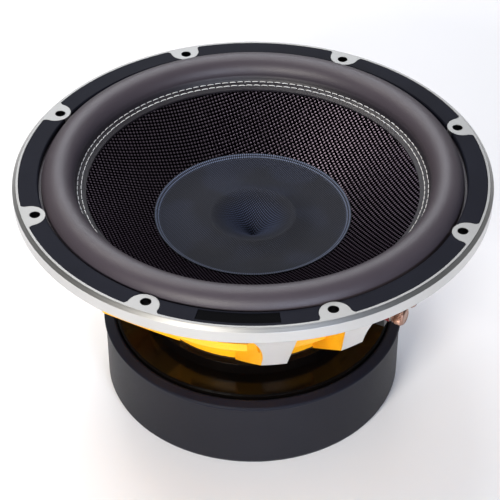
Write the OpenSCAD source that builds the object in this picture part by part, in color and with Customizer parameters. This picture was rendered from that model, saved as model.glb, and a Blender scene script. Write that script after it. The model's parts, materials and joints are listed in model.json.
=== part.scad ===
// Car subwoofer driver: cast basket, rubber-booted motor and a long-throw cone assembly.
// The speaker axis is Z. The base of the motor boot stands on z = 0 and the front faces +Z.
// The blank badge on the front gasket is at -Y.

/* [Basket] */
// Outer radius of the mounting flange
flange_r = 159; // [158:0.5:162]
// Height of the flange's front face above the base
front_z = 171; // [171:1:176]
// Radius of the circle of mounting holes
hole_circle_r = 148; // [147:0.5:149]
// Radius of each mounting hole
hole_r = 3.5; // [2.5:0.25:4]
// Half the clear distance between the two arms of a pair, at the foot
arm_inner = 18.4; // [16:0.2:20]
// Distance from a pair's centre plane to an arm's outer side
arm_outer = 34.5; // [32:0.5:36]
// Radius of the lightening hole across each arm
arm_hole_r = 5.5; // [3:0.5:6]

/* [Cone] */
// Rise of the cone for each millimetre of radius
cone_slope = 0.52; // [0.48:0.01:0.54]
// Thickness of the cone
cone_t = 1.6; // [1:0.2:1.6]
// Outer radius of the dust cap
cap_r = 66.7; // [60:0.1:70]
// Depth of the pit in the middle of the dust cap
cap_pit = 30; // [10:1:34]
// Outer radius of the surround's half roll in section
roll_r = 11; // [10:0.5:11]

/* [Motor] */
// Outer radius of the rubber boot's wall
boot_r = 103.5; // [103:0.1:104.5]
// Radius of the magnets
magnet_r = 100; // [96:1:100]
// Radius of the voice coil former, inside
former_r = 38; // [37.8:0.1:38]
// Height of the voice coil winding
coil_h = 34; // [24:1:34]

/* [Terminals] */
// Distance from a terminal block's centre plane to each post
post_side = 10; // [9:0.5:11]
// Radius of a terminal knob
knob_r = 6.8; // [5.5:0.1:7]

/* [Hidden] */
$fn = 128;
FULL_TURN = 360;
TAB_COUNT = 8;
PAIR_COUNT = 4;
SCREW_COUNT = 8;
NEAR = 0.15;

// Flange levels
ledge_z = front_z - 5.5;
rear_z = front_z - 11;
skirt_z = front_z - 19;
rim_r = flange_r - 4;
land_t = 1.5;

// Basket levels
plate_z = 56.5;
base_ring_z = 66.5;
slot_z = 75;
slot_h = 5.6;
landing_z = 101;
landing_r = 84;
landing_outer_r = 95;
ring_wall_r = 74;
arm_foot_z = 107;
arm_foot_r = 121;

// Motor levels
yoke_z = 2;
magnet_z = 14;
magnet_h = 15;
top_plate_z = magnet_z + 2 * magnet_h;
pole_r = 36.2;
pole_z = 60;
gap_mid_z = (top_plate_z + plate_z) / 2;
winding_r = former_r + 0.35;

// Cone and surround
cone_edge_r = 120;
cone_ref_r = 118;
cone_ref_z = front_z - 9;
neck_r = former_r + 2;
neck_z = cone_ref_z - cone_slope * (cone_ref_r - neck_r);
roll_mid_r = 129.05;
roll_mid_z = front_z - 4.3;
roll_t = 2.2;
stitch_r = 0.45;

// Terminals, in the block's own frame: X is radial, Y is sideways
post_z = 94.5;
block_u = 98.5;
block_t = 6;
ear_side = 19;
ear_u = block_u + block_t / 2;
collar_t = 3;
washer_u = block_u + block_t + collar_t + 0.3;
knob_u = washer_u + 1.5;
BLOCK_ANGLES = [-22.5, 157.5];
lead_r = 1.1;
lead_sides = 8;
LEAD_ROUTE = [[97.5, 117], [95.5, 117], [93.5, 117.5], [91, 118.5], [88, 120.4], [85, 121.3], [82, 121.5], [78, 120.8],
    [74, 119.5], [69, 117.7], [64, 116.6], [59, 116.3], [54, 116.9], [50, 117.9], [46, 118.8],
    [43, 119], [41.2, 118.6], [40.2, 118]];

function cone_z(r) = cone_ref_z - cone_slope * (cone_ref_r - r);

// Height of the dust cap's front face: a shallow trough round a soft-rimmed funnel
cap_dish_r = cap_r - 4.2;
cap_trough = 2.6;
funnel_r = 29;
funnel_wall_r = 13;
funnel_wall_w = 3.5;
cap_step = 2;
function cap_z(r) = cone_z(cap_dish_r) + 0.9
    - cap_trough * sin(180 * max(0, r - funnel_r) / (cap_dish_r - funnel_r))
    - cap_pit / (1 + exp((r - funnel_wall_r) / funnel_wall_w));

// Height of a spider's middle surface above its glue land
spider_start_r = 44;
spider_pitch = 8;
spider_wave = 2.5;
spider_t = 0.8;
function spider_wave_z(r) = spider_wave * sin(FULL_TURN * (r - spider_start_r) / spider_pitch);

// ---------- shared shapes ----------

module tube(outer, inner, bottom, top) {
    translate([0, 0, bottom])
        difference() {
            cylinder(r = outer, h = top - bottom);
            translate([0, 0, -1]) cylinder(r = inner, h = top - bottom + 2);
        }
}

module around(count, first) {
    for (i = [0 : count - 1])
        rotate([0, 0, first + i * FULL_TURN / count]) children();
}

// Outline of a mounting tab, pointing in from the flange's rim, with a hollow fillet on each side
module tab_outline(grow) {
    tab_r = 10;
    fillet = 3.7;
    foot = tab_r + fillet;
    translate([rim_r - fillet, 0]) circle(r = tab_r + grow);
    difference() {
        translate([rim_r - fillet, -foot]) square([fillet + 2, 2 * foot]);
        for (side = [-1, 1])
            translate([rim_r - fillet, side * foot]) circle(r = fillet - grow);
    }
}

// ---------- basket ----------

module basket_flange() color("silver") difference() {
    rotate_extrude() polygon([
        [131.5, skirt_z], [138, skirt_z], [141, rear_z], [flange_r - 0.8, rear_z],
        [flange_r, rear_z + 0.8], [flange_r, front_z - 2.4], [flange_r - 2.4, front_z],
        [135, front_z], [135, rear_z]]);
    translate([0, 0, ledge_z]) linear_extrude(20) difference() {
        circle(r = rim_r);
        around(TAB_COUNT, 22.5) tab_outline(0);
    }
    around(TAB_COUNT, 22.5)
        translate([hole_circle_r, 0, rear_z - 1])
            cylinder(r = hole_r, h = front_z - rear_z + 2, $fn = 48);
}

// Front outline of one arm: X is the distance from the pair's centre plane, Y is height
module arm_front() {
    flare_r = 40;
    flare_z = skirt_z - flare_r;
    flare_x = arm_outer + flare_r;
    difference() {
        polygon([[arm_inner, 60], [flare_x, 60], [flare_x, skirt_z + 4],
            [arm_inner - 3.8, skirt_z + 4], [arm_inner, arm_foot_z + 1.5]]);
        translate([arm_outer, 50]) square([flare_r + 1, flare_z - 50]);
        translate([flare_x, flare_z]) circle(r = flare_r);
    }
}

module basket_arms() color("silver") difference() {
    intersection() {
        rotate_extrude() polygon([
            [72.5, base_ring_z], [arm_foot_r, arm_foot_z], [138, skirt_z], [131, skirt_z],
            [118, 136], [landing_outer_r, landing_z], [landing_outer_r, 95], [86, 95],
            [ring_wall_r, 84], [ring_wall_r, slot_z]]);
        around(PAIR_COUNT, 22.5)
            for (side = [0, 1])
                mirror([side, 0, 0])
                    translate([0, -40, 0]) rotate([90, 0, 0])
                        linear_extrude(110) arm_front();
    }
    around(PAIR_COUNT, 22.5)
        translate([-60, -109, 119]) rotate([0, 90, 0])
            cylinder(r = arm_hole_r, h = 120, $fn = 48);
}

module basket_ring() color("orange") difference() {
    union() {
        rotate_extrude() polygon([
            [54, base_ring_z], [72.5, base_ring_z], [ring_wall_r, slot_z], [ring_wall_r, 84],
            [86, 95], [landing_outer_r, 95], [landing_outer_r, landing_z],
            [landing_r, landing_z], [landing_r, 96.5], [70, 83.5], [69.5, 70.5], [54, 70.5]]);
        for (a = BLOCK_ANGLES)
            for (side = [-1, 1])
                rotate([0, 0, a]) translate([90, side * ear_side - 4, 96])
                    cube([block_u + block_t - 90, 8, landing_z - 96]);
    }
    translate([0, 0, slot_z])
        around(PAIR_COUNT, -121.6)
            rotate_extrude(angle = 26.7) translate([66, 0]) square([12, slot_h]);
    translate([0, 0, slot_z])
        around(PAIR_COUNT, 22.5 - 14.2)
            rotate_extrude(angle = 28.4) translate([66, 0]) square([12, slot_h]);
    around(SCREW_COUNT, 0)
        translate([60, 0, base_ring_z - 1]) cylinder(r = 3.3, h = 6, $fn = 32);
    for (a = BLOCK_ANGLES)
        for (side = [-1, 1])
            rotate([0, 0, a])
                translate([ear_u, side * ear_side, 95]) cylinder(r = 2.05, h = 7, $fn = 32);
}

module base_ring() color("dimgray") difference() {
    rotate_extrude() polygon([
        [50, plate_z], [75.5, plate_z], [75.5, base_ring_z - 2], [72.5, base_ring_z],
        [50, base_ring_z]]);
    around(SCREW_COUNT, 0)
        translate([60, 0, plate_z - 1]) cylinder(r = 3.3, h = 12, $fn = 32);
}

module basket_screws() color("black")
    around(SCREW_COUNT, 0)
        translate([60, 0, 0]) {
            translate([0, 0, 46.5]) cylinder(r = 3, h = 24, $fn = 32);
            difference() {
                translate([0, 0, 70.5]) cylinder(r = 5, h = 6, $fn = 32);
                translate([0, 0, 73]) cylinder(r = 2.9, h = 4, $fn = 6);
            }
        }

// ---------- front trim ----------

gasket_inner_r = 141.9;
badge_arc = 19.6;
badge_inner_r = 143.6;
badge_outer_r = 152.8;

module front_gasket() color("darkslategray") difference() {
    rotate_extrude() polygon([
        [gasket_inner_r, ledge_z + land_t], [rim_r - 0.1, ledge_z + land_t],
        [rim_r - 0.1, front_z - 0.3], [rim_r - 0.4, front_z], [gasket_inner_r + 0.8, front_z],
        [gasket_inner_r, front_z - 0.8]]);
    around(TAB_COUNT, 22.5)
        translate([0, 0, ledge_z - 1]) linear_extrude(10) tab_outline(0.2);
    rotate([0, 0, -90 - badge_arc / 2]) translate([0, 0, front_z - 1])
        rotate_extrude(angle = badge_arc)
            translate([badge_inner_r, 0]) square([badge_outer_r - badge_inner_r, 3]);
}

module badge_plate() color("black")
    rotate([0, 0, -90 - badge_arc / 2 + 0.1]) translate([0, 0, front_z - 1])
        rotate_extrude(angle = badge_arc - 0.2)
            translate([badge_inner_r + NEAR, 0])
                square([badge_outer_r - badge_inner_r - 2 * NEAR, 0.85]);

// ---------- motor ----------

module top_plate() color("black") difference() {
    rotate_extrude() polygon([
        [42, top_plate_z], [96, top_plate_z], [96, plate_z - 1], [95, plate_z], [42, plate_z]]);
    around(SCREW_COUNT, 0)
        translate([60, 0, 46]) cylinder(r = 3.05, h = 12, $fn = 32);
}

module magnet(bottom) {
    chamfer = 1.5;
    top = bottom + magnet_h;
    rotate_extrude() polygon([
        [50, bottom], [magnet_r - chamfer, bottom], [magnet_r, bottom + chamfer],
        [magnet_r, top - chamfer], [magnet_r - chamfer, top], [50, top]]);
}

module front_magnet() color("gray") magnet(magnet_z + magnet_h);

module rear_magnet() color("gray") magnet(magnet_z);

module t_yoke() color("dimgray")
    rotate_extrude() polygon([
        [26, yoke_z], [94, yoke_z], [96, yoke_z + 2], [96, magnet_z], [43, magnet_z],
        [43, 9], [pole_r, 9], [pole_r, pole_z - 1], [pole_r - 1, pole_z], [14, pole_z],
        [14, 16], [26, 4]]);

module pole_sleeve() color("peru") tube(pole_r + 0.7, pole_r, 42, pole_z - 1.2);

module flux_ring() color("silver") tube(49.9, 46, 16, 42);

module rubber_boot() color([0.2, 0.2, 0.23])
    rotate_extrude() polygon([
        [30, 0], [boot_r - 2.5, 0], [boot_r - 0.7, 0.7], [boot_r, 2.5], [boot_r, 49],
        [boot_r + 1.1, 50.2], [boot_r + 1.1, 51.8], [boot_r + 0.2, 52.6], [98.5, 54.2],
        [97, 53.6], [97, top_plate_z + 0.1], [magnet_r + 0.2, top_plate_z + 0.1],
        [magnet_r + 0.2, magnet_z], [96.4, magnet_z - 0.1], [96.4, yoke_z], [30, yoke_z]]);

module vent_mesh() color("gray") difference() {
    translate([0, 0, 1]) cylinder(r = 29.5, h = 0.8);
    for (ring = [1 : 4])
        around(6 * ring, 0)
            translate([ring * 5.6, 0, 0]) cylinder(r = 1.6, h = 3, $fn = 16);
}

// ---------- terminals ----------

// Puts a child at each post: 1 and 2 on the right block, 3 and 4 on the left block
module at_post(number) {
    side = number % 2 == 1 ? -1 : 1;
    rotate([0, 0, BLOCK_ANGLES[floor((number - 1) / 2)]])
        translate([0, side * post_side, post_z]) children();
}

module radial(u, length, r, sides = 48)
    translate([u, 0, 0]) rotate([0, 90, 0]) cylinder(r = r, h = length, $fn = sides);

module terminal_block(angle) {
    rotate([0, 0, angle]) difference() {
        union() {
            translate([block_u, -14.6, landing_z - 16.5]) cube([block_t, 29.2, 20.5]);
            translate([block_u, -22.5, landing_z]) cube([block_t, 45, 4]);
        }
        for (side = [-1, 1]) {
            translate([0, side * post_side, post_z]) radial(90, 30, 3.1);
            translate([ear_u, side * ear_side, 95]) cylinder(r = 2.1, h = 12, $fn = 32);
        }
    }
}

module terminal_block_right() color("black") terminal_block(BLOCK_ANGLES[0]);

module terminal_block_left() color("black") terminal_block(BLOCK_ANGLES[1]);

module terminal_screws() color("silver")
    for (a = BLOCK_ANGLES)
        for (side = [-1, 1])
            rotate([0, 0, a])
                translate([ear_u, side * ear_side, 0]) {
                    translate([0, 0, 94]) cylinder(r = 2, h = 11, $fn = 32);
                    difference() {
                        translate([0, 0, 105]) cylinder(r = 2.9, h = 2.4, $fn = 32);
                        translate([0, 0, 106.2]) cylinder(r = 1.4, h = 2, $fn = 6);
                    }
                }

module post_studs() color("peru")
    for (i = [1 : 4])
        at_post(i) difference() {
            radial(95.3, knob_u + 6.7 - 95.3, 3);
            translate([knob_u + 0.4, 0, 0]) cylinder(r = 1.7, h = 10, center = true, $fn = 32);
        }

module collar(number) at_post(number) difference() {
    radial(block_u + block_t, collar_t, 6.2);
    radial(block_u, 12, 3.05);
}

module positive_collars() color("red") {
    collar(1);
    collar(3);
}

module negative_collars() color("black") {
    collar(2);
    collar(4);
}

module solder_lugs() color("tan")
    for (i = [1 : 4])
        at_post(i) difference() {
            union() {
                radial(97.6, 0.8, 4.6);
                translate([97.6, -1.8, 0]) cube([0.8, 3.6, 25]);
            }
            radial(90, 10, 3.05);
        }

module stud_nuts() color("silver")
    for (i = [1 : 4])
        at_post(i) difference() {
            radial(95.5, 2, 4.5, 6);
            radial(90, 10, 3.05);
        }

module washer(number) color("silver") at_post(number) difference() {
    radial(washer_u, 1.2, 5.6);
    radial(100, 15, 3.3);
}

module washer_1() washer(1);

module washer_2() washer(2);

module washer_3() washer(3);

module washer_4() washer(4);

module knob(number) color("rosybrown") at_post(number) difference() {
    translate([knob_u, 0, 0]) rotate([0, 90, 0]) rotate_extrude() polygon([
        [0, 0], [knob_r - 0.8, 0], [knob_r, 0.8], [knob_r, 7.3], [knob_r - 1.2, 8.5], [0, 8.5]]);
    radial(100, knob_u + 7 - 100, 3.06);
}

module knob_1() knob(1);

module knob_2() knob(2);

module knob_3() knob(3);

module knob_4() knob(4);

// ---------- tinsel leads: a tube swept along the route, with a ring of points at each one ----------

function lead_ring(i) =
    let (
        last = len(LEAD_ROUTE) - 1,
        ahead = LEAD_ROUTE[min(i + 1, last)] - LEAD_ROUTE[max(i - 1, 0)],
        dir = ahead / norm(ahead),
        p = LEAD_ROUTE[i]
    )
    [for (k = [0 : lead_sides - 1])
        let (
            a = k * FULL_TURN / lead_sides,
            up = lead_r * cos(a)
        )
        [p[0] - dir[1] * up, lead_r * sin(a), p[1] + dir[0] * up]];

module lead(number) {
    rings = len(LEAD_ROUTE);
    points = [for (i = [0 : rings - 1]) each lead_ring(i)];
    walls = [for (i = [0 : rings - 2]) for (k = [0 : lead_sides - 1])
        let (
            next = (k + 1) % lead_sides,
            here = i * lead_sides,
            there = here + lead_sides
        )
        each [[here + k, there + k, there + next], [here + k, there + next, here + next]]];
    start = [for (k = [0 : lead_sides - 1]) k];
    finish = [for (k = [lead_sides - 1 : -1 : 0]) (rings - 1) * lead_sides + k];
    color("goldenrod") at_post(number) translate([0, 0, -post_z])
        polyhedron(points, concat(walls, [start, finish]));
}

module lead_1() lead(1);

module lead_2() lead(2);

module lead_3() lead(3);

module lead_4() lead(4);

// ---------- suspension ----------

module spider(land) {
    steps = [for (r = [spider_start_r : 1 : landing_r]) [r, land + spider_t / 2 + spider_wave_z(r)]];
    back = [for (i = [len(steps) - 1 : -1 : 0]) steps[i] - [0, spider_t / 2]];
    front = [for (p = steps) p + [0, spider_t / 2]];
    rotate_extrude() polygon(concat(
        [[neck_r + NEAR, land], [neck_r + NEAR, land + spider_t]], front,
        [[91, land + spider_t], [91, land]], back));
}

spider_gap = 9;
module spider_lower() color("khaki") spider(landing_z);

module spider_upper() color("khaki") spider(landing_z + spider_gap);

module spider_spacer() color("black")
    tube(91, landing_r + 0.5, landing_z + spider_t, landing_z + spider_gap);

module surround() color([0.33, 0.31, 0.34]) difference() {
    foot_r = roll_mid_r + roll_r - roll_t + 0.35;
    wall_r = roll_mid_r - roll_r + 0.35;
    wall_t = roll_t - 0.7;
    rotate_extrude() {
        intersection() {
            translate([roll_mid_r, roll_mid_z]) difference() {
                circle(r = roll_r);
                circle(r = roll_r - roll_t);
            }
            translate([roll_mid_r - 20, roll_mid_z]) square([40, 20]);
        }
        polygon([[foot_r, ledge_z], [rim_r - 0.4, ledge_z], [rim_r - 0.4, ledge_z + land_t],
            [foot_r + 1, ledge_z + land_t], [foot_r + 1, roll_mid_z + 1], [foot_r, roll_mid_z + 1]]);
        polygon([[111, cone_z(111) + NEAR], [wall_r + wall_t, cone_z(wall_r + wall_t) + NEAR],
            [wall_r + wall_t, roll_mid_z + 1], [wall_r, roll_mid_z + 1],
            [wall_r, cone_z(wall_r) + 1.4], [111, cone_z(111) + 1.4]]);
    }
    around(TAB_COUNT, 22.5)
        translate([0, 0, ledge_z - 1]) linear_extrude(4) tab_outline(0.3);
}

// ---------- cone assembly ----------

module cone() color([0.18, 0.16, 0.17])
    rotate_extrude() polygon([
        [neck_r, neck_z], [neck_r, neck_z - cone_t], [cone_edge_r, cone_z(cone_edge_r) - cone_t],
        [cone_edge_r, cone_z(cone_edge_r)]]);

module dust_cap() color([0.16, 0.18, 0.24]) {
    cap_t = 0.8;
    radii = [for (r = [0 : cap_step : cap_dish_r - 1]) r];
    front = [for (r = radii) [r, cap_z(r)]];
    back = [for (i = [len(radii) - 1 : -1 : 0]) [radii[i], cap_z(radii[i]) - cap_t]];
    rotate_extrude() polygon(concat(front,
        [[cap_dish_r, cone_z(cap_dish_r) + 1.3], [cap_r - 0.4, cone_z(cap_r) + 1.2],
            [cap_r, cone_z(cap_r) + 0.6], [cap_r, cone_z(cap_r)],
            [cap_dish_r, cone_z(cap_dish_r)]],
        back));
}

module stitch_ring(r) rotate_extrude()
    translate([r, cone_z(r) + 1.4 + NEAR + 1.15 * stitch_r]) circle(r = stitch_r, $fn = 24);

module stitching_outer() color("white") stitch_ring(116.5);

module stitching_inner() color("white") stitch_ring(114);

module coil_former() color("silver") tube(winding_r, former_r, 31, neck_z);

module coil_inner() color("peru")
    tube(winding_r + 1.25, winding_r, gap_mid_z - coil_h / 2, gap_mid_z + coil_h / 2);

module coil_outer() color("sienna")
    tube(winding_r + 2.5, winding_r + 1.25, gap_mid_z - coil_h / 2, gap_mid_z + coil_h / 2);

module coil_collar() color("tan") tube(neck_r, winding_r, 98, neck_z);

// ---------- nodes ----------

basket_flange();
basket_arms();
basket_ring();
base_ring();
front_gasket();
badge_plate();
spider_spacer();
spider_lower();
spider_upper();
top_plate();
front_magnet();
rear_magnet();
t_yoke();
pole_sleeve();
flux_ring();
rubber_boot();
vent_mesh();
basket_screws();
terminal_block_right();
terminal_block_left();
terminal_screws();
post_studs();
positive_collars();
negative_collars();
solder_lugs();
stud_nuts();
washer_1();
washer_2();
washer_3();
washer_4();
knob_1();
knob_2();
knob_3();
knob_4();
lead_1();
lead_2();
lead_3();
lead_4();
cone();
dust_cap();
surround();
stitching_outer();
stitching_inner();
coil_former();
coil_inner();
coil_outer();
coil_collar();
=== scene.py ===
"""Looks of a car subwoofer driver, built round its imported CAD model.

Metres throughout, +Z up. The speaker's axis is Z, and the blank badge faces -Y.
"""
import json
import math

import bpy
import numpy as np
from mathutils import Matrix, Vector


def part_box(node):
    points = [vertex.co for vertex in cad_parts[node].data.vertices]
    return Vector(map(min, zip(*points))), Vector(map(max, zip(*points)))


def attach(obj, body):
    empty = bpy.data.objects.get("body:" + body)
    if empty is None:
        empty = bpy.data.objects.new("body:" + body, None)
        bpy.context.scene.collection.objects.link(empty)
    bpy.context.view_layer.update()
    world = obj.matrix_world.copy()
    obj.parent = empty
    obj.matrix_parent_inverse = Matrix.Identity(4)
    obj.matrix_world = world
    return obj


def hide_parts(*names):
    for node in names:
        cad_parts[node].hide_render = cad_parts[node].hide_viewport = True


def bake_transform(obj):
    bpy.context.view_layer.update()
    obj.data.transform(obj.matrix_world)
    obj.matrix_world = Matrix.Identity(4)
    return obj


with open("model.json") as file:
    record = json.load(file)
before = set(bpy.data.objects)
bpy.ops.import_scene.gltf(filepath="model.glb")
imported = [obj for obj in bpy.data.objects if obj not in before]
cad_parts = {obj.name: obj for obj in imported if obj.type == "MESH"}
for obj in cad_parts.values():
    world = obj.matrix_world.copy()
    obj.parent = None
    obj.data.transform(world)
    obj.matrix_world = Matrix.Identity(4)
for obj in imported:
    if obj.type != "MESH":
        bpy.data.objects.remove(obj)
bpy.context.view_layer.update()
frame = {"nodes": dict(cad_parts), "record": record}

MM = 0.001
TURN = 2 * math.pi


def outer_radius(node):
    """Outer radius of a node that surrounds the speaker's axis."""
    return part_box(node)[1].x


def bottom(node):
    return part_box(node)[0].z


def top(node):
    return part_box(node)[1].z


# ---------- sizes that several pieces share ----------

CONE_SLOPE = 0.52
CONE_EDGE_R = outer_radius("cone")
CONE_EDGE_Z = top("cone")
CAP_R = outer_radius("dust_cap")
CAP_BAND_R = CAP_R - 4.2 * MM
PIT_R = 29 * MM
NECK_R = outer_radius("coil_collar")
RIM_R = outer_radius("front_gasket")
FRONT_Z = top("basket_flange")
LEDGE_Z = bottom("surround")
BOLTS = next(m for m in frame["record"]["mounts"] if m["name"] == "flange_bolts")["dims"]
BOLT_CIRCLE_R = BOLTS["pcd_mm"] / 2 * MM
BOLT_HOLE_R = BOLTS["hole_r_mm"] * MM
TAB_COUNT = BOLTS["count"]
TAB_R = 10 * MM
TAB_FILLET = 3.7 * MM
ROLL_R = 11 * MM
ROLL_MID_R = 129.05 * MM
ROLL_MID_Z = top("surround") - ROLL_R
ROLL_T = 2.2 * MM
LAND_IN_R = 111 * MM
ROLL_FOOT_R = ROLL_MID_R - ROLL_R
ROLL_OUTER_R = ROLL_MID_R + ROLL_R
LAND_Z = bottom("front_gasket")
LAND_RISE = 1.4 * MM
GASKET_GAP = 0.05 * MM
RING_FOOT_R = 72.8 * MM


def cone_z(radius):
    """Height of the cone's front face."""
    return CONE_EDGE_Z - CONE_SLOPE * (CONE_EDGE_R - radius)


# ---------- mesh helpers ----------

def add_mesh(name, vertices, faces):
    """A new smooth-shaded piece."""
    mesh = bpy.data.meshes.new(name)
    mesh.from_pydata([tuple(v) for v in vertices], [], faces)
    mesh.update()
    mesh.polygons.foreach_set("use_smooth", [True] * len(mesh.polygons))
    piece = bpy.data.objects.new(name, mesh)
    bpy.context.scene.collection.objects.link(piece)
    return piece


def grid_faces(rings, steps, close_rings=True):
    """Quads between rings of steps points each, wrapped round every ring."""
    faces = []
    for i in range(rings if close_rings else rings - 1):
        a = i * steps
        b = (i + 1) % rings * steps
        for j in range(steps):
            k = (j + 1) % steps
            faces.append((a + j, b + j, b + k, a + k))
    return faces


def revolve(name, outline, steps):
    """Turns a closed outline of (radius, height) points, listed anticlockwise, about the axis."""
    angles = np.arange(steps) * TURN / steps
    rings = [
        np.column_stack([r * np.cos(angles), r * np.sin(angles), np.full(steps, z)])
        for r, z in outline
    ]
    return add_mesh(name, np.vstack(rings), grid_faces(len(outline), steps))


def arc(centre, radius, start, end, count):
    """Points along an arc in the (radius, height) plane, angles in degrees."""
    angles = np.radians(np.linspace(start, end, count))
    return [(centre[0] + radius * math.cos(a), centre[1] + radius * math.sin(a)) for a in angles]


def tube(path, radius, sides):
    """Vertices and faces of a round tube along a path, closed by a flat cap at each end."""
    path = np.array(path, float)
    along = np.gradient(path, axis=0)
    along /= np.linalg.norm(along, axis=1)[:, None]
    side = np.cross(along, (0.0, 0.0, 1.0))
    side /= np.linalg.norm(side, axis=1)[:, None]
    up = np.cross(side, along)
    radii = np.broadcast_to(radius, len(path))
    angles = np.arange(sides) * TURN / sides
    rings = [
        p + r * (np.cos(angles)[:, None] * s + np.sin(angles)[:, None] * u)
        for p, r, s, u in zip(path, radii, side, up)
    ]
    faces = [tuple(reversed(f)) for f in grid_faces(len(path), sides, False)]
    faces.append(tuple(range(sides)))
    faces.append(tuple(reversed(range(len(path) * sides - sides, len(path) * sides))))
    return np.vstack(rings), faces


def join_parts(name, parts):
    """One mesh out of several (vertices, faces) pairs."""
    vertices = []
    faces = []
    base = 0
    for part_vertices, part_faces in parts:
        vertices.append(np.array(part_vertices, float))
        faces += [tuple(base + i for i in f) for f in part_faces]
        base += len(part_vertices)
    return add_mesh(name, np.vstack(vertices), faces)


def sharpen(piece, angle):
    """Keeps edges sharper than angle, in degrees, crisp under smooth shading."""
    piece.data.set_sharp_from_angle(angle=math.radians(angle))


# ---------- material helpers ----------

class Paint:
    """One procedural material. Each method adds a node and returns its output socket."""

    def __init__(self, name, **sockets):
        self.material = bpy.data.materials.new(name)
        self.material.use_nodes = True
        self.tree = self.material.node_tree
        self.shader = self.tree.nodes["Principled BSDF"]
        place = self.add("ShaderNodeTexCoord").outputs["Object"]
        self.place = place
        split = self.add("ShaderNodeSeparateXYZ")
        self.tree.links.new(place, split.inputs[0])
        self.x, self.y, self.z = split.outputs
        for socket, value in sockets.items():
            self.set(socket.replace("_", " "), value)

    def add(self, kind, **settings):
        node = self.tree.nodes.new(kind)
        for key, value in settings.items():
            setattr(node, key, value)
        return node

    def wire(self, value, socket):
        if isinstance(value, bpy.types.NodeSocket):
            self.tree.links.new(value, socket)
        elif isinstance(value, tuple) and len(value) == 3 and socket.type == "RGBA":
            socket.default_value = (*value, 1.0)
        else:
            socket.default_value = value

    def set(self, socket, value):
        self.wire(value, self.shader.inputs[socket])

    def math(self, operation, *values):
        node = self.add("ShaderNodeMath", operation=operation)
        for value, socket in zip(values, node.inputs):
            self.wire(value, socket)
        return node.outputs[0]

    def ramp(self, value, low, high, to_low=0.0, to_high=1.0):
        """Runs smoothly from to_low to to_high as value goes from low to high."""
        node = self.add("ShaderNodeMapRange", interpolation_type="SMOOTHSTEP")
        for item, socket in zip((value, low, high, to_low, to_high), node.inputs):
            self.wire(item, socket)
        return node.outputs[0]

    def mix(self, share, a, b):
        """Mixes two colours."""
        node = self.add("ShaderNodeMix", data_type="RGBA")
        self.wire(share, node.inputs["Factor"])
        self.wire(a, node.inputs[6])
        self.wire(b, node.inputs[7])
        return node.outputs[2]

    def blend(self, share, a, b):
        """Mixes two numbers."""
        node = self.add("ShaderNodeMix", data_type="FLOAT")
        self.wire(share, node.inputs["Factor"])
        self.wire(a, node.inputs[2])
        self.wire(b, node.inputs[3])
        return node.outputs[0]

    def combine(self, x, y, z):
        node = self.add("ShaderNodeCombineXYZ")
        for value, socket in zip((x, y, z), node.inputs):
            self.wire(value, socket)
        return node.outputs[0]

    def noise(self, size, detail=2.0, place=None):
        """Noise from 0 to 1 whose blobs are about size metres across."""
        node = self.add("ShaderNodeTexNoise")
        self.wire(place or self.place, node.inputs["Vector"])
        node.inputs["Scale"].default_value = 1.0 / size
        node.inputs["Detail"].default_value = detail
        return node.outputs[0]

    def radius(self):
        """Distance from the speaker's axis."""
        return self.math("SQRT", self.math("ADD", self.math("MULTIPLY", self.x, self.x),
                                           self.math("MULTIPLY", self.y, self.y)))

    def angle(self):
        return self.math("ARCTAN2", self.y, self.x)

    def wave(self, value, period):
        """A sine from -1 to 1 along value, with that period."""
        return self.math("SINE", self.math("MULTIPLY", value, TURN / period))

    def bump(self, height, distance, normal=None):
        node = self.add("ShaderNodeBump")
        node.inputs["Strength"].default_value = 1.0
        node.inputs["Distance"].default_value = distance
        self.wire(height, node.inputs["Height"])
        if normal is not None:
            self.wire(normal, node.inputs["Normal"])
        return node.outputs[0]

    def soft_edge(self, radius):
        """A normal that rolls over edges, as a small radius or wear does."""
        node = self.add("ShaderNodeBevel", samples=4)
        node.inputs["Radius"].default_value = radius
        return node.outputs[0]


def bolt_distance(paint):
    """Distance from the axis of the nearest mounting hole."""
    spacing = TURN / TAB_COUNT
    turned = paint.math("FLOORED_MODULO", paint.angle(), spacing)
    off = paint.math("SUBTRACT", turned, spacing / 2)
    across = paint.math("MULTIPLY", paint.radius(), paint.math("SINE", off))
    outward = paint.math("SUBTRACT", paint.math("MULTIPLY", paint.radius(), paint.math("COSINE", off)),
                         BOLT_CIRCLE_R)
    return paint.math("SQRT", paint.math("ADD", paint.math("MULTIPLY", across, across),
                                         paint.math("MULTIPLY", outward, outward)))


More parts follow.
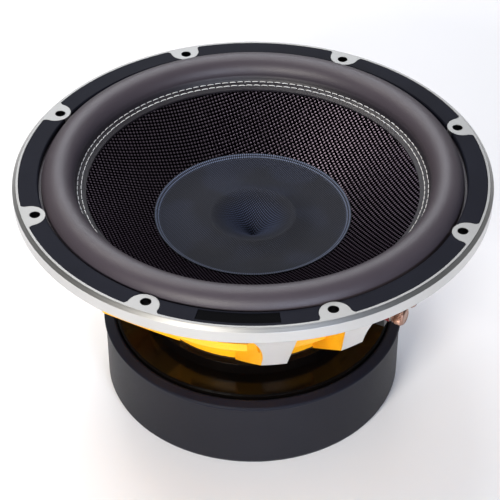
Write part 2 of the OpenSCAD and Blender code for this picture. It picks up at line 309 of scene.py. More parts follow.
def machined_aluminium():
    """Turned metal: the front face and its tabs are rougher and coloured darker as painted shade, and
    painted shade fills the mounting holes.
    """
    paint = Paint("machined_aluminium", Metallic=1.0)
    rings = paint.noise(0.9 * MM, 3, paint.combine(paint.radius(), paint.z, 0.0))
    stain = paint.noise(40 * MM, 3)
    bright = paint.mix(stain, (0.52, 0.52, 0.51), (0.62, 0.62, 0.61))
    # The front face is darker partly for its rougher finish and partly as painted shade, since it sits in
    # less light than the sides.
    satin_and_painted_shade = paint.mix(stain, (0.27, 0.27, 0.262), (0.32, 0.32, 0.312))
    front = paint.ramp(paint.z, FRONT_Z - 0.5 * MM, FRONT_Z - 0.2 * MM)
    # Painted shade: inside each mounting hole, below the front face, the metal is coloured near black.
    in_hole = paint.ramp(bolt_distance(paint), BOLT_HOLE_R + 0.3 * MM, BOLT_HOLE_R + 0.5 * MM, 1.0, 0.0)
    painted_hole_shade = paint.math("MULTIPLY", in_hole, paint.math("SUBTRACT", 1.0, front))
    silver = paint.mix(front, bright, satin_and_painted_shade)
    paint.set("Base Color", paint.mix(painted_hole_shade, silver, (0.012, 0.012, 0.014)))
    paint.set("Roughness", paint.blend(front, paint.ramp(rings, 0.3, 0.7, 0.30, 0.42), 0.52))
    paint.set("Normal", paint.bump(rings, 0.03 * MM, paint.soft_edge(0.35 * MM)))
    return paint.material


def yellow_coat(paint):
    """The powder coat's colour."""
    return paint.mix(paint.noise(22 * MM, 2), (0.93, 0.40, 0.004), (1.0, 0.50, 0.012))


def yellow_casting():
    """Yellow powder coat, coloured dark inside the ring's wall and on its foot as painted shade."""
    paint = Paint("yellow_casting", Coat_Weight=0.35, Coat_Roughness=0.2)
    peel = paint.noise(1.1 * MM, 2)
    # Painted shade: inside RING_FOOT_R the coat is coloured dark brown, where little light reaches.
    clear_of_painted_shade = paint.ramp(paint.radius(), RING_FOOT_R - 0.05 * MM, RING_FOOT_R + 0.05 * MM)
    paint.set("Base Color", paint.mix(clear_of_painted_shade, (0.020, 0.009, 0.003), yellow_coat(paint)))
    paint.set("Roughness", paint.ramp(peel, 0.3, 0.7, 0.36, 0.48))
    paint.set("Normal", paint.bump(peel, 0.05 * MM, paint.soft_edge(0.5 * MM)))
    return paint.material


def cast_arms():
    """Yellow casting whose outer face is lathe turned to bare metal."""
    paint = Paint("cast_arms")
    foot_r = 121 * MM
    foot_z = 107 * MM
    tip_r = 138 * MM
    tip_z = 152 * MM
    length = math.hypot(tip_r - foot_r, tip_z - foot_z)
    run = (tip_z - foot_z) / length
    rise = (tip_r - foot_r) / length
    radius = paint.radius()
    depth = paint.math("SUBTRACT",
                       paint.math("MULTIPLY", paint.math("SUBTRACT", paint.z, foot_z), rise),
                       paint.math("MULTIPLY", paint.math("SUBTRACT", radius, foot_r), run))
    turned = paint.ramp(depth, 0.25 * MM, 0.4 * MM, 1.0, 0.0)
    peel = paint.noise(1.1 * MM, 2)
    rings = paint.noise(0.9 * MM, 3, paint.combine(radius, paint.z, 0.0))
    silver = paint.mix(paint.noise(40 * MM, 3), (0.74, 0.74, 0.73), (0.84, 0.84, 0.83))
    paint.set("Base Color", paint.mix(turned, yellow_coat(paint), silver))
    paint.set("Metallic", turned)
    paint.set("Roughness", paint.blend(turned, paint.ramp(peel, 0.3, 0.7, 0.36, 0.48),
                                       paint.ramp(rings, 0.3, 0.7, 0.30, 0.42)))
    height = paint.blend(turned, peel, paint.math("MULTIPLY", rings, 0.6))
    paint.set("Normal", paint.bump(height, 0.05 * MM, paint.soft_edge(0.5 * MM)))
    return paint.material


def moulded(name, colour, lighter, roughness, grain=0.5 * MM, depth=0.03 * MM, edge=0.4 * MM,
            **sockets):
    """Moulded plastic or rubber with a fine grain."""
    paint = Paint(name, **sockets)
    fine = paint.noise(grain, 3)
    cloud = paint.noise(35 * MM, 3)
    share = paint.blend(0.6, fine, cloud)
    paint.set("Base Color", paint.mix(paint.ramp(share, 0.3, 0.7), colour, lighter))
    paint.set("Roughness", paint.ramp(fine, 0.3, 0.7, roughness - 0.05, roughness + 0.06))
    paint.set("Normal", paint.bump(fine, depth, paint.soft_edge(edge)))
    return paint.material


def metal(name, colour, lighter, roughness):
    """Plain worked metal with a faint turned or drawn grain."""
    paint = Paint(name, Metallic=1.0)
    fine = paint.noise(0.6 * MM, 3)
    paint.set("Base Color", paint.mix(paint.noise(12 * MM, 3), colour, lighter))
    paint.set("Roughness", paint.ramp(fine, 0.3, 0.7, roughness - 0.06, roughness + 0.08))
    paint.set("Normal", paint.bump(fine, 0.02 * MM, paint.soft_edge(0.2 * MM)))
    return paint.material


def weave(paint, across, along, warp_pitch, weft_pitch, fibres):
    """A plain weave of flat tows: its height, where the warp is on top, and each float's crown."""
    p = paint.math("DIVIDE", across, warp_pitch)
    q = paint.math("DIVIDE", along, weft_pitch)
    sine_p = paint.math("SINE", paint.math("MULTIPLY", p, math.pi))
    sine_q = paint.math("SINE", paint.math("MULTIPLY", q, math.pi))
    warp_up = paint.ramp(paint.math("MULTIPLY", sine_p, sine_q), -0.02, 0.02)
    crown_p = paint.math("ABSOLUTE", sine_p)
    crown_q = paint.math("ABSOLUTE", sine_q)
    warp = paint.math("MULTIPLY", paint.math("POWER", crown_p, 0.45), crown_q)
    weft = paint.math("MULTIPLY", paint.math("POWER", crown_q, 0.45), crown_p)
    lines = paint.blend(warp_up, paint.wave(q, 1 / fibres), paint.wave(p, 1 / fibres))
    height = paint.math("MULTIPLY_ADD", lines, 0.06, paint.blend(warp_up, weft, warp))
    return height, warp_up, paint.math("MULTIPLY", crown_p, crown_q)


def rotated(paint, degrees):
    """The piece's own x and y, turned about the axis."""
    c = math.cos(math.radians(degrees))
    s = math.sin(math.radians(degrees))
    across = paint.math("MULTIPLY_ADD", paint.x, c, paint.math("MULTIPLY", paint.y, s))
    along = paint.math("MULTIPLY_ADD", paint.x, -s, paint.math("MULTIPLY", paint.y, c))
    return across, along


def woven_cone():
    """Black cloth whose warp is glossy and whose weft is dull, so that it shines as rows of dots; the weft
    and the edges of each float are also coloured near black as painted shade.
    """
    paint = Paint("woven_cone", Metallic=1.0)
    paint.set("Specular Tint", (0.25, 0.24, 0.27))
    across, along = rotated(paint, -20)
    sag = paint.math("MULTIPLY", paint.math("SUBTRACT", paint.noise(45 * MM, 1), 0.5), 2.2 * MM)
    across = paint.math("ADD", across, sag)
    height, warp_up, crown = weave(paint, across, along, 1.65 * MM, 1.8 * MM, 4)
    # Painted shade: only the warp crowns keep a reflective colour; the weft and the tow edges are coloured
    # near black.
    warp_clear_of_painted_shade = paint.math("MULTIPLY", warp_up, paint.ramp(crown, 0.1, 0.6))
    paint.set("Base Color", paint.mix(warp_clear_of_painted_shade, (0.0008, 0.0006, 0.0012), (0.100, 0.081, 0.100)))
    paint.set("Roughness", paint.blend(warp_clear_of_painted_shade, 0.80, 0.32))
    paint.set("Normal", paint.bump(height, 0.10 * MM))
    return paint.material


def cap_cloth():
    """Fine cloth, coloured bluer in the pit as painted light and near black between threads as painted
    shade, and a coarser, paler band where it is glued to the cone.
    """
    paint = Paint("cap_cloth", Sheen_Weight=0.03, Sheen_Roughness=0.45, Specular_IOR_Level=0.14)
    paint.set("Sheen Tint", (0.45, 0.55, 0.95))
    across, along = rotated(paint, 38)
    fine, _, fine_crown = weave(paint, across, along, 1.25 * MM, 1.25 * MM, 3)
    band_along = paint.math("MULTIPLY", paint.angle(), CAP_R)
    coarse, _, coarse_crown = weave(paint, band_along, paint.radius(), 1.5 * MM, 1.7 * MM, 3)
    band = paint.ramp(paint.radius(), CAP_BAND_R - 0.15 * MM, CAP_BAND_R + 0.15 * MM)
    patches = paint.ramp(paint.noise(34 * MM, 1), 0.42, 0.6, 0.0, 0.4)
    # Painted light: the pit is coloured bluer, standing in for blue light on its wall; the patches are the
    # cloth's own shot colour.
    pit_painted_light = paint.ramp(paint.radius(), PIT_R - 17 * MM, PIT_R - 2 * MM, 1.0, 0.0)
    patches_and_painted_light = paint.math("MAXIMUM", patches, pit_painted_light)
    thread_colour = paint.mix(patches_and_painted_light, (0.025, 0.028, 0.041), (0.052, 0.068, 0.130))
    # Painted shade: between threads the cloth and the band are coloured near black.
    cloth = paint.mix(paint.ramp(fine_crown, 0.3, 0.9), (0.0015, 0.0018, 0.004), thread_colour)
    lip_painted_weave_shade = paint.ramp(coarse_crown, 0.25, 0.85)
    lip = paint.mix(lip_painted_weave_shade, (0.005, 0.006, 0.010), (0.12, 0.145, 0.22))
    paint.set("Base Color", paint.mix(band, cloth, lip))
    paint.set("Roughness", paint.blend(band, 0.58, 0.5))
    paint.set("Normal", paint.bump(paint.blend(band, fine, coarse), 0.14 * MM))
    return paint.material


def spider_cloth():
    paint = Paint("spider_cloth")
    height, warp_up, crown = weave(paint, paint.x, paint.y, 0.8 * MM, 0.8 * MM, 2)
    # Painted shade: the cloth is coloured dark between threads and lighter on their crowns.
    spider_painted_shade = paint.ramp(crown, 0.2, 0.9)
    paint.set("Base Color", paint.mix(spider_painted_shade, (0.030, 0.016, 0.008), (0.19, 0.10, 0.05)))
    paint.set("Roughness", paint.blend(warp_up, 0.72, 0.62))
    paint.set("Normal", paint.bump(height, 0.12 * MM))
    return paint.material


def surround_rubber():
    """Matt rubber, and a smoother land where it is glued and sewn to the cone, coloured blacker as painted
    shade.
    """
    paint = Paint("surround_rubber", Specular_IOR_Level=0.42)
    grain = paint.noise(0.55 * MM, 4)
    cloud = paint.noise(30 * MM, 3)
    rubber = paint.mix(cloud, (0.048, 0.039, 0.049), (0.059, 0.049, 0.059))
    # Painted shade: inside the roll's foot the land is coloured near black.
    land = paint.ramp(paint.radius(), ROLL_FOOT_R - 0.8 * MM, ROLL_FOOT_R + 0.6 * MM, 1.0, 0.0)
    paint.set("Base Color", paint.mix(land, rubber, (0.012, 0.010, 0.014)))
    paint.set("Roughness", paint.ramp(grain, 0.3, 0.7, 0.36, 0.50))
    paint.set("Normal", paint.bump(grain, 0.15 * MM))
    return paint.material


def boot_rubber():
    """Satin rubber, with a lip band that was left a little glossier by its mould."""
    paint = Paint("boot_rubber", Specular_IOR_Level=0.16)
    grain = paint.noise(0.6 * MM, 3)
    cloud = paint.noise(45 * MM, 3)
    lip_z = top("rubber_boot") - 5 * MM
    lip = paint.ramp(paint.z, lip_z, lip_z + 1 * MM)
    wall = paint.mix(cloud, (0.011, 0.011, 0.015), (0.016, 0.016, 0.021))
    paint.set("Base Color", paint.mix(lip, wall, (0.008, 0.009, 0.016)))
    paint.set("Roughness", paint.blend(lip, paint.ramp(grain, 0.3, 0.7, 0.42, 0.54), 0.44))
    paint.set("Normal", paint.bump(grain, 0.05 * MM, paint.soft_edge(0.5 * MM)))
    return paint.material


def black_gloss():
    paint = Paint("black_gloss", Specular_IOR_Level=0.13)
    ripple = paint.noise(18 * MM, 2)
    paint.set("Base Color", paint.mix(ripple, (0.0012, 0.0010, 0.0010), (0.0035, 0.0025, 0.0020)))
    paint.set("Roughness", paint.ramp(paint.noise(3 * MM, 3), 0.3, 0.7, 0.14, 0.22))
    paint.set("Normal", paint.bump(ripple, 0.08 * MM, paint.soft_edge(0.4 * MM)))
    return paint.material


def thread():
    """Twisted white thread, with the twist running round the circle of stitches."""
    paint = Paint("thread")
    around = paint.math("MULTIPLY_ADD", paint.angle(), 115 * MM, paint.z)
    twist = paint.wave(around, 0.45 * MM)
    # Painted shade: the thread is coloured greyer in the grooves of its twist.
    painted_strand_shade = paint.ramp(twist, -1.0, 1.0)
    paint.set("Base Color", paint.mix(painted_strand_shade, (0.66, 0.66, 0.65), (0.94, 0.94, 0.93)))
    paint.set("Roughness", paint.ramp(twist, -1.0, 1.0, 0.7, 0.55))
    paint.set("Normal", paint.bump(twist, 0.05 * MM))
    return paint.material


def wound_wire():
    paint = Paint("wound_wire", Metallic=1.0)
    turns = paint.math("ABSOLUTE", paint.wave(paint.z, 1.1 * MM))
    # Painted shade: the wire is coloured darker in the grooves between its turns.
    paint.set("Base Color", paint.mix(turns, (0.30, 0.10, 0.04), (0.80, 0.40, 0.22)))
    paint.set("Roughness", paint.ramp(turns, 0.0, 1.0, 0.5, 0.28))
    paint.set("Normal", paint.bump(turns, 0.12 * MM))
    return paint.material


def tinsel_braid():
    paint = Paint("tinsel_braid", Metallic=1.0)
    along = paint.math("MULTIPLY_ADD", paint.y, 0.7, paint.x)
    braid = paint.math("MULTIPLY", paint.wave(paint.math("ADD", along, paint.z), 1.0 * MM),
                       paint.wave(paint.math("SUBTRACT", along, paint.z), 1.0 * MM))
    # Painted shade: the braid is coloured darker where its strands dip under each other.
    painted_strand_shade = paint.ramp(braid, -1.0, 1.0)
    paint.set("Base Color", paint.mix(painted_strand_shade, (0.28, 0.15, 0.09), (0.86, 0.66, 0.50)))
    paint.set("Roughness", paint.ramp(braid, -1.0, 1.0, 0.5, 0.3))
    paint.set("Normal", paint.bump(braid, 0.12 * MM))
    return paint.material


def kraft_paper():
    paint = Paint("kraft_paper")
    fibre = paint.noise(1.5 * MM, 5)
    paint.set("Base Color", paint.mix(fibre, (0.16, 0.085, 0.040), (0.34, 0.20, 0.10)))
    paint.set("Roughness", paint.ramp(fibre, 0.3, 0.7, 0.7, 0.85))
    paint.set("Normal", paint.bump(fibre, 0.06 * MM))
    return paint.material


def floor_paint():
    paint = Paint("floor_paint")
    paint.set("Base Color", paint.mix(paint.noise(0.4, 2), (0.92, 0.92, 0.93), (0.95, 0.95, 0.96)))
    paint.set("Roughness", paint.ramp(paint.noise(0.05, 2), 0.3, 0.7, 0.6, 0.75))
    return paint.material


MATERIALS = {
    "machined_aluminium": machined_aluminium(),
    "yellow_casting": yellow_casting(),
    "cast_arms": cast_arms(),
    "black_gloss": black_gloss(),
    "trim_rubber": moulded("trim_rubber", (0.0045, 0.005, 0.010), (0.007, 0.008, 0.015), 0.58,
                           Specular_IOR_Level=0.07),
    "badge_plastic": moulded("badge_plastic", (0.0004, 0.0004, 0.0008), (0.0008, 0.0008, 0.0014), 0.56,
                             0.25 * MM, 0.01 * MM, 0.2 * MM, Specular_IOR_Level=0.02),
    "black_plastic": moulded("black_plastic", (0.012, 0.012, 0.012), (0.022, 0.022, 0.022), 0.42),
    "red_plastic": moulded("red_plastic", (0.17, 0.008, 0.007), (0.23, 0.012, 0.010), 0.40),
    "ferrite": moulded("ferrite", (0.022, 0.022, 0.024), (0.055, 0.055, 0.058), 0.68,
                       0.8 * MM, 0.12 * MM),
    "black_steel": metal("black_steel", (0.045, 0.045, 0.048), (0.075, 0.075, 0.080), 0.42),
    "copper": metal("copper", (0.31, 0.19, 0.145), (0.42, 0.26, 0.20), 0.36),
    "screw_steel": metal("screw_steel", (0.42, 0.42, 0.43), (0.60, 0.60, 0.60), 0.32),
    "tinned_brass": metal("tinned_brass", (0.62, 0.58, 0.50), (0.76, 0.72, 0.64), 0.30),
    "former_aluminium": metal("former_aluminium", (0.62, 0.62, 0.63), (0.74, 0.74, 0.75), 0.36),
    "wound_wire": wound_wire(),
    "tinsel_braid": tinsel_braid(),
    "kraft_paper": kraft_paper(),
    "boot_rubber": boot_rubber(),
    "woven_cone": woven_cone(),
    "cap_cloth": cap_cloth(),
    "spider_cloth": spider_cloth(),
    "surround_rubber": surround_rubber(),
    "thread": thread(),
}

NODE_FINISH = {
    "basket_flange": "machined_aluminium",
    "basket_arms": "cast_arms",
    "basket_ring": "yellow_casting",
    "base_ring": "black_gloss",
    "front_gasket": "trim_rubber",
    "badge_plate": "badge_plastic",
    "spider_spacer": "black_plastic",
    "top_plate": "black_gloss",
    "front_magnet": "ferrite",
    "rear_magnet": "ferrite",
    "t_yoke": "black_steel",
    "pole_sleeve": "copper",
    "flux_ring": "former_aluminium",
    "rubber_boot": "boot_rubber",
    "vent_mesh": "black_steel",
    "basket_screws": "screw_steel",
    "terminal_block_right": "black_plastic",
    "terminal_block_left": "black_plastic",
    "terminal_screws": "screw_steel",
    "post_studs": "tinned_brass",
    "positive_collars": "red_plastic",
    "negative_collars": "black_plastic",
    "solder_lugs": "tinned_brass",
    "stud_nuts": "tinned_brass",
    "washer_1": "tinned_brass",
    "washer_2": "tinned_brass",
    "washer_3": "tinned_brass",
    "washer_4": "tinned_brass",
    "coil_former": "former_aluminium",
    "coil_inner": "wound_wire",
    "coil_outer": "wound_wire",
    "coil_collar": "kraft_paper",
}


def finish_with(piece, finish):
    piece.data.materials.clear()
    piece.data.materials.append(MATERIALS[finish])


def bend_with_cone(piece):
    """Bakes a ring's transform into its mesh and reads its points; it does not bend the ring."""
    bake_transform(piece)
    points = np.zeros(len(piece.data.vertices) * 3, np.float32)
    piece.data.vertices.foreach_get("co", points)
    points = points.reshape(-1, 3)


# ---------- soft pieces ----------

def make_cone():
    """Pressed woven cone, from its neck on the former to the edge under the surround's land."""
    t = 1.5 * MM
    inset = 0.02 * MM
    radii = np.linspace(NECK_R + 0.2 * MM, CONE_EDGE_R - 0.3 * MM, 70)
    front = [(r, cone_z(r) - inset) for r in radii]
    back = [(r, cone_z(r) - t) for r in radii]
    outline = back + list(reversed(front))
    piece = revolve("woven_cone", outline, 360)
    sharpen(piece, 40)
    finish_with(piece, "woven_cone")
    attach(piece, "cone")
    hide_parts("cone")


def cap_height(r):
    """Front face of the dust cap: a shallow trough round a soft-rimmed pit that ends in a point."""
    rise = 0.9 * MM
    pit_depth = 20 * MM
    trough_depth = 2.6 * MM
    if r > CAP_BAND_R:
        return cone_z(r) + rise
    trough = trough_depth * math.sin(math.pi * max(0.0, r - PIT_R) / (CAP_BAND_R - PIT_R))
    return cone_z(CAP_BAND_R) + rise - trough - pit_depth * max(0.0, 1 - r / PIT_R) ** 1.5


def make_dust_cap():
    t = 0.7 * MM
    edge_r = CAP_R - 0.5 * MM
    dish = np.linspace(0.05 * MM, CAP_BAND_R, 90)
    band = np.linspace(CAP_BAND_R + 0.3 * MM, edge_r, 8)
    radii = np.concatenate([dish, band])
    front = [(r, cap_height(r)) for r in radii]
    edge = arc((edge_r, cap_height(edge_r) - t / 2), t / 2, 70, -70, 6)
    back = [(r, cap_height(r) - t) for r in radii]
    piece = revolve("woven_dust_cap", back + list(reversed(edge)) + list(reversed(front)), 288)
    sharpen(piece, 50)
    finish_with(piece, "cap_cloth")
    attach(piece, "cone")
    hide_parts("dust_cap")


def land_reach(angle):
    """How far out the surround's land runs at an angle, stopping short of each mounting tab."""
    spacing = TURN / TAB_COUNT
    off = abs(angle % spacing - spacing / 2)
    full = RIM_R - 0.5 * MM
    mid = RIM_R + 0.1 * MM - TAB_FILLET
    grown = TAB_R + 0.5 * MM
    across = mid * math.sin(off)
    if across < grown:
        return mid * math.cos(off) - math.sqrt(grown ** 2 - across ** 2)
    return full


def surround_face():
    """The surround's front face, from the sewn land over the roll to the groove beside the gasket."""
    fillet_r = 2.2 * MM
    fillet_drop = 1.14 * MM
    fillet_climb = 3.2 * MM
    groove_depth = 0.9 * MM
    foot_z = cone_z(ROLL_FOOT_R) + LAND_RISE
    land = [(r, cone_z(r) + LAND_RISE) for r in np.linspace(LAND_IN_R, ROLL_FOOT_R - fillet_r, 8)]
    fillet = [(ROLL_FOOT_R - fillet_r + 2.0 * MM * s, foot_z - fillet_drop * (1 - s) + fillet_climb * s ** 3)
              for s in (0.35, 0.6, 0.8, 0.95)]
    roll = arc((ROLL_MID_R, ROLL_MID_Z), ROLL_R, 180, 0, 49)
    groove = [(ROLL_OUTER_R + 0.01 * MM, LAND_Z - 0.4 * MM),
              (ROLL_OUTER_R + 0.05 * MM, LAND_Z - groove_depth),
              (ROLL_OUTER_R + 1.6 * MM, LAND_Z - groove_depth),
              (ROLL_OUTER_R + 1.8 * MM, LAND_Z - GASKET_GAP)]
    return land + fillet + roll + groove


def surround_back():
    """The surround's hidden face, from the roll's outer wall back to the land's inner edge."""
    glue_gap = 0.2 * MM
    inner_wall_r = ROLL_FOOT_R + ROLL_T
    underside = arc((ROLL_MID_R, ROLL_MID_Z), ROLL_R - ROLL_T, 0, 180, 41)
    inner_wall = [(inner_wall_r, cone_z(inner_wall_r) + glue_gap)]
    land = [(r, cone_z(r) + glue_gap) for r in np.linspace(ROLL_FOOT_R, LAND_IN_R, 8)]
    return underside + inner_wall + land


def make_surround():
    """Half roll with a filleted inner foot, a sewn land on the cone and a land under the gasket."""
    steps = 720
    ledge_gap = 0.02 * MM
    angles = np.arange(steps) * TURN / steps
    reach = np.array([land_reach(a) for a in angles])
    rings = []

    def add_ring(radius, z):
        radii = np.minimum(radius, reach)
        level = np.full(steps, z)
        rings.append(np.column_stack([radii * np.cos(angles), radii * np.sin(angles), level]))

    for r, z in surround_face():
        add_ring(r, z)
    add_ring(reach, LAND_Z - GASKET_GAP)
    add_ring(reach, LEDGE_Z + ledge_gap)
    add_ring(ROLL_OUTER_R - ROLL_T, LEDGE_Z + ledge_gap)
    for r, z in surround_back():
        add_ring(r, z)
    faces = [tuple(reversed(f)) for f in grid_faces(len(rings), steps)]
    piece = add_mesh("rubber_surround", np.vstack(rings), faces)
    sharpen(piece, 50)
    finish_with(piece, "surround_rubber")
    bend_with_cone(piece)
    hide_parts("surround")


def make_stitches(node, name):
    """A row of thread dashes: each lifts out of one hole, lies over the land and dives into the next."""
    cad_thread_r = 0.45 * MM
    radius = outer_radius(node) - cad_thread_r
    above_land = 0.30 * MM
    level = cone_z(radius) + LAND_RISE + above_land
    pitch = 5.4 * MM
    count = round(TURN * radius / pitch)
    thread_r = 0.28 * MM
    share = 0.88
    dive = 0.55 * MM
    uneven = 0.10 * MM
    taper = 0.35
    along = np.linspace(-0.5, 0.5, 9)
    parts = []
    for i in range(count):
        angles = (i + along * share) * TURN / count
        lift = -dive * np.abs(along * 2) ** 4
        r = radius + uneven * math.sin(i * 2.4)
        path = np.column_stack([r * np.cos(angles), r * np.sin(angles), level + lift])
        width = thread_r * (1 - taper * np.abs(along * 2) ** 6)
        parts.append(tube(path, width, 8))
    piece = join_parts(name, parts)
    finish_with(piece, "thread")
    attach(piece, "cone")
    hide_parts(node)


def make_spider(node, name):
    """Corrugated cloth disc, flat where it is glued to the former and to the basket."""
    low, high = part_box(node)
    mid = (low.z + high.z) / 2
    half_t = 0.35 * MM
    wave = (high.z - low.z) / 2 - 0.4 * MM
    pitch = 8 * MM
    inner = NECK_R + 0.1 * MM
    outer = high.x - 0.1 * MM
    roll_start = 44 * MM
    roll_end = roll_start + 5 * pitch
    radii = np.linspace(inner, outer, 260)

    def height(r):
        if r < roll_start or r > roll_end:
            return mid
        return mid + wave * math.sin(TURN * (r - roll_start) / pitch)

    front = [(r, height(r) + half_t) for r in radii]
    back = [(r, height(r) - half_t) for r in radii]
    piece = revolve(name, back + list(reversed(front)), 180)
    finish_with(piece, "spider_cloth")
    bend_with_cone(piece)
    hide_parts(node)


# ---------- terminals ----------

JOINTS = {joint["name"]: joint for joint in frame["record"]["behaviour"]["joints"]}
UP = np.array([0.0, 0.0, 1.0])


def post_frame(index):
    """The centre of a knob's inner face, the way its post points, and the sideways way."""
    joint = JOINTS[f"knob_turn_{index}"]
    out = np.array(joint["axis"], float)
    return np.array(joint["pos_m"], float), out, np.cross(UP, out)


def make_knob(index):
    """Turned and knurled thumb nut with a bore, a neck, a rounded end and a shallow recess in its face.

    Each outline point is a distance along the post and a radius, in millimetres.
    """
    seat, out, side = post_frame(index)
    teeth = 34
    knurl_depth = 0.45
    steps = teeth * 6
    angles = np.arange(steps) * TURN / steps
    groove = 0.5 + 0.5 * np.cos(angles * teeth)
    plain = [(7.0, 0.05), (7.0, 3.1), (0.3, 3.1), (0.0, 3.4), (0.0, 5.7), (0.3, 6.0), (0.9, 6.0),
             (1.2, 5.3), (1.6, 5.3)]
    barrel = [(1.9, 6.2), (2.2, 6.6), (2.5, 6.75), (6.3, 6.75), (6.7, 6.6), (7.0, 6.2)]
    end = [(7.4, 6.1), (8.0, 5.7), (8.4, 5.0), (8.5, 4.4), (8.2, 4.1), (8.2, 0.05)]
    rings = []
    for points, depth in ((plain, 0.0), (barrel, knurl_depth), (end, 0.0)):
        for along, radius in points:
            radii = (radius - depth * groove) * MM
            spokes = np.cos(angles)[:, None] * side + np.sin(angles)[:, None] * UP
            rings.append(seat + along * MM * out + radii[:, None] * spokes)
    faces = grid_faces(len(rings), steps)
    piece = add_mesh(f"knurled_knob_{index}", np.vstack(rings), faces)
    sharpen(piece, 40)
    finish_with(piece, "copper")
    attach(piece, f"knob_{index}")
    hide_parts(f"knob_{index}")


# Each lead's way from its lug to the collar: distance from the axis and height, in millimetres
LEAD_ROUTE = [
    (97.5, 117), (95.5, 117), (93.5, 117.5), (91, 118.5), (88, 120.4), (85, 121.3), (82, 121.5),
    (78, 120.8), (74, 119.5), (69, 117.7), (64, 116.6), (59, 116.3), (54, 116.9), (50, 117.9),
    (46, 118.8), (43, 119), (41.2, 118.6), (40.2, 118),
]


def smooth_route(points, per_span):
    """A Catmull-Rom curve through the points."""
    points = np.array(points, float)
    padded = np.vstack([2 * points[0] - points[1], points, 2 * points[-1] - points[-2]])
    curve = []
    for a, b, c, d in zip(padded, padded[1:], padded[2:], padded[3:]):
        for t in np.arange(per_span) / per_span:
            curve.append(0.5 * (2 * b + (c - a) * t + (2 * a - 5 * b + 4 * c - d) * t ** 2
                                + (3 * b - a - 3 * c + d) * t ** 3))
    curve.append(points[-1])
    return np.array(curve)


def make_lead(index):
    """Braided tinsel lead: strands cross over each other all the way along."""
    seat, out, _ = post_frame(index)
    post = seat - out * np.dot(seat, out)
    post[2] = 0.0
    route = smooth_route(LEAD_ROUTE, 9) * MM
    path = post + route[:, :1] * out + route[:, 1:] * UP
    sides = 24
    lead_r = 0.93 * MM
    braid_pitch = 5.2 * MM
    strands_each_way = 4
    relief = 0.13
    vertices, faces = tube(path, lead_r, sides)
    length = np.concatenate([[0.0], np.cumsum(np.linalg.norm(np.diff(path, axis=0), axis=1))])
    turn = np.tile(np.arange(sides) * TURN / sides, len(path))
    along = np.repeat(length, sides) * TURN / braid_pitch
    round_it = strands_each_way * turn
    strands = np.sin(round_it + along) * np.sin(round_it - along)
    centre = np.repeat(path, sides, axis=0)
    vertices = centre + (vertices - centre) * (1 + relief * strands)[:, None]
    piece = add_mesh(f"braided_lead_{index}", vertices, faces)
    sharpen(piece, 60)
    finish_with(piece, "tinsel_braid")
    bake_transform(piece)
    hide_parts(f"lead_{index}")


make_cone()
make_dust_cap()
make_surround()
make_stitches("stitching_outer", "stitch_row_outer")
make_stitches("stitching_inner", "stitch_row_inner")
make_spider("spider_lower", "cloth_spider_lower")
make_spider("spider_upper", "cloth_spider_upper")
for number in range(1, 5):
    make_knob(number)
    make_lead(number)

for node_name, finish in NODE_FINISH.items():
    finish_with(frame["nodes"][node_name], finish)


# ---------- floor, light and camera ----------

LIGHT_TARGET = (0, 0, 0.1)


def make_floor():
    half = 8.0
    low = bottom("rubber_boot")
    corners = [(-half, -half, low), (half, -half, low), (half, half, low), (-half, half, low)]
    floor = add_mesh("floor", corners, [(0, 1, 2, 3)])
    floor.data.materials.append(floor_paint())


def add_light(name, place, size, power, colour):
    """A soft box that points at the speaker."""
    data = bpy.data.lights.new(name, "AREA")
    data.shape = "RECTANGLE"
    data.size, data.size_y = size
    data.energy = power
    data.color = colour
    light = bpy.data.objects.new(name, data)
    bpy.context.scene.collection.objects.link(light)
    light.location = place
    direction = Vector(LIGHT_TARGET) - Vector(place)
    light.rotation_euler = direction.to_track_quat("-Z", "Y").to_euler()


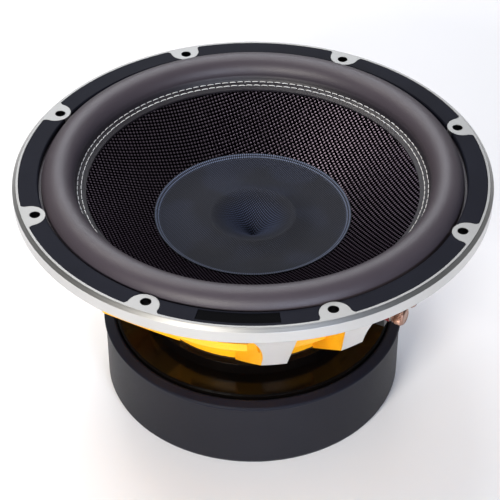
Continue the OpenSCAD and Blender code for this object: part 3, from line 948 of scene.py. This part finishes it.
def make_world():
    """A studio that is bright behind the speaker and dim overhead, at the sides and in front of it."""
    world = bpy.data.worlds.new("studio")
    world.use_nodes = True
    nodes = world.node_tree.nodes
    links = world.node_tree.links
    place = nodes.new("ShaderNodeTexCoord")
    split = nodes.new("ShaderNodeSeparateXYZ")
    links.new(place.outputs["Generated"], split.inputs[0])

    def ramp(value, low, high, to_low, to_high):
        node = nodes.new("ShaderNodeMapRange")
        node.interpolation_type = "SMOOTHSTEP"
        for item, socket in zip((low, high, to_low, to_high), node.inputs[1:5]):
            socket.default_value = item
        links.new(value, node.inputs[0])
        return node.outputs[0]

    def product(a, b):
        node = nodes.new("ShaderNodeMath")
        node.operation = "MULTIPLY"
        links.new(a, node.inputs[0])
        links.new(b, node.inputs[1])
        return node.outputs[0]

    back = ramp(split.outputs["Y"], -0.3, 0.55, 0.15, 0.42)
    overhead = ramp(split.outputs["Z"], 0.55, 0.95, 1.0, 0.25)
    sideways = product(split.outputs["X"], split.outputs["X"])
    flanks = ramp(sideways, 0.10, 0.60, 1.0, 0.45)
    nodes["Background"].inputs["Color"].default_value = (0.97, 0.98, 1.0, 1.0)
    links.new(product(product(back, overhead), flanks), nodes["Background"].inputs["Strength"])
    bpy.context.scene.world = world


def make_camera():
    """The camera fitted to the photo: in front, a little to the right, and looking down."""
    look_down = 39.349
    turn_left = 3.5
    data = bpy.data.cameras.new("camera")
    data.lens = 125.9
    data.sensor_width = 36.0
    camera = bpy.data.objects.new("camera", data)
    bpy.context.scene.collection.objects.link(camera)
    camera.location = (0.0548, -0.9277, 0.8642)
    camera.rotation_euler = (math.radians(90 - look_down), 0.0, math.radians(turn_left))
    bpy.context.scene.camera = camera


make_floor()
make_world()
add_light("left_box", (-0.62, 0.40, 1.30), (0.50, 0.45), 7, (1.0, 0.95, 0.90))
add_light("back_box", (-0.15, 1.15, 0.95), (0.9, 0.4), 7, (0.90, 0.93, 1.0))
add_light("top_box", (-0.03, 0.58, 1.35), (0.45, 0.28), 5, (0.96, 0.96, 1.0))
add_light("front_left", (-0.55, -1.35, 0.80), (0.55, 0.35), 23, (1.0, 0.95, 0.88))
add_light("front_right", (0.60, -1.35, 0.60), (0.5, 0.35), 14, (0.74, 0.82, 1.0))
make_camera()
bpy.context.scene.view_settings.view_transform = "Standard"
